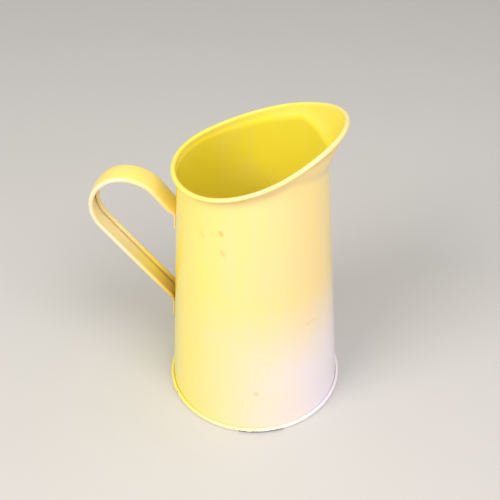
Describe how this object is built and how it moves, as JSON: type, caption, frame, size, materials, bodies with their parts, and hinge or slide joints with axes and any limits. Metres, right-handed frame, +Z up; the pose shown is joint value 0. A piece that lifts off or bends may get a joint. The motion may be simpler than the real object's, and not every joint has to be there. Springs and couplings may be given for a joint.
{
  "type": "sheet-metal pitcher jug",
  "caption": "Tall tapered jug of painted sheet steel with a slanted, flared mouth, a pouring lip, a rolled foot bead and a hairpin strap handle.",
  "frame": {"origin": "on the body's axis, in the plane that the foot stands on", "axes": "+X towards the pouring lip, handle on -X, +Z up"},
  "size_m": [0.1723, 0.126, 0.2199],
  "materials": {
    "yellow_paint": "semi-gloss pale yellow paint, baked on steel sheet, with small rust specks and chips at the foot"
  },
  "bodies": {
    "root": {"body_shell": "yellow_paint", "base_pan": "yellow_paint", "handle": "yellow_paint"}
  },
  "joints": []
}
